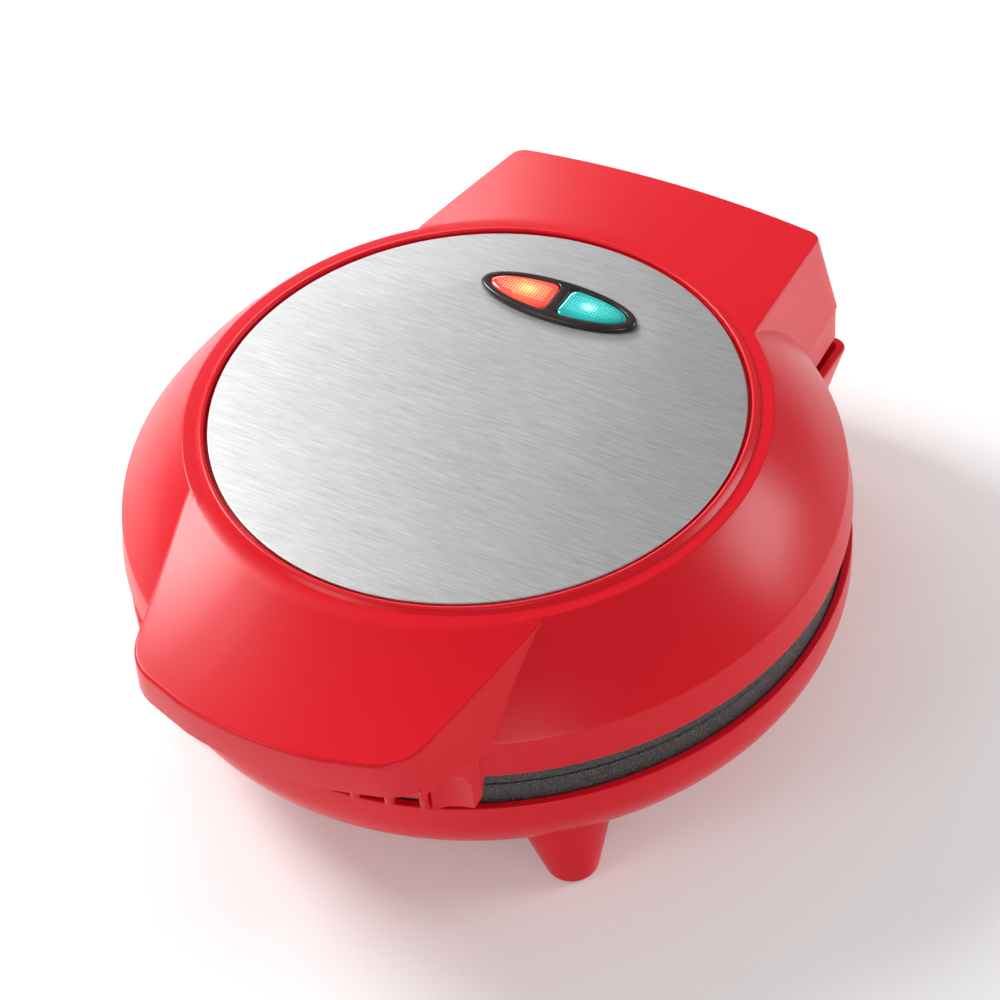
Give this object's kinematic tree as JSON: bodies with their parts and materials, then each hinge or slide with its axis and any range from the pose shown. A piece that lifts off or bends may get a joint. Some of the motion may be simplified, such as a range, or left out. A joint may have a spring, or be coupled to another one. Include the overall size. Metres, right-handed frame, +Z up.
{
  "type": "electric omelette maker",
  "caption": "Round hinged omelette maker with a domed lid, a steel disc with two indicator windows, a tongue handle, half-moon cooking plates and a bowl-shaped base on tapered feet.",
  "frame": {"origin": "centre of the part's box at the table, under the closed lid", "axes": "+Z up, +Y from the handle to the hinge, +X to the right seen from the handle"},
  "size_m": [0.22, 0.2606, 0.0955],
  "materials": {
    "red_plastic": "glossy red moulded plastic",
    "brushed_steel": "straight brushing across the disc",
    "dark_plastic": "dark brown-black gloss",
    "red_lens": "clear red lens, lit",
    "green_lens": "clear blue-green lens",
    "lamp_glass": "small neon lamp",
    "cream_plastic": "heat-resistant moulding",
    "non_stick": "black speckled non-stick coating on cast aluminium",
    "heater_tube": "dull green-grey metal sheath",
    "bright_sheet": "thin bright sheet",
    "zinc_steel": "zinc plated",
    "rubber": "matt black"
  },
  "bodies": {
    "base": {"base_housing": "red_plastic", "thermostat": "cream_plastic", "thermal_fuse": "zinc_steel", "terminal_block": "cream_plastic", "cord_gland": "rubber", "hinge_pin_left": "zinc_steel", "hinge_pin_right": "zinc_steel", "lower_cooking_plate": "non_stick", "lower_heating_element": "heater_tube", "lower_heat_shield": "bright_sheet", "lower_shield_screw_1": "zinc_steel", "lower_shield_screw_2": "zinc_steel", "lower_shield_screw_3": "zinc_steel", "lower_shield_screw_4": "zinc_steel", "lower_plate_screw_front": "zinc_steel", "lower_plate_screw_back": "zinc_steel", "foot_pad_front_left": "rubber", "foot_pad_front_right": "rubber", "foot_pad_back_left": "rubber", "foot_pad_back_right": "rubber"},
    "lid": {"lid_shell": "red_plastic", "steel_disc": "brushed_steel", "indicator_bezel": "dark_plastic", "power_lens": "red_lens", "ready_lens": "green_lens", "lamp_carrier": "cream_plastic", "power_lamp": "lamp_glass", "ready_lamp": "lamp_glass", "upper_cooking_plate": "non_stick", "upper_heating_element": "heater_tube", "upper_heat_shield": "bright_sheet", "upper_shield_screw_1": "zinc_steel", "upper_shield_screw_2": "zinc_steel", "upper_shield_screw_3": "zinc_steel", "upper_shield_screw_4": "zinc_steel", "upper_plate_screw_front": "zinc_steel", "upper_plate_screw_back": "zinc_steel"}
  },
  "joints": [
    {"name": "lid_hinge", "type": "hinge", "parent": "base", "child": "lid", "pos_m": [0, 0.11525, 0.051], "axis": [-1, 0, 0], "range_deg": [0, 100]}
  ]
}
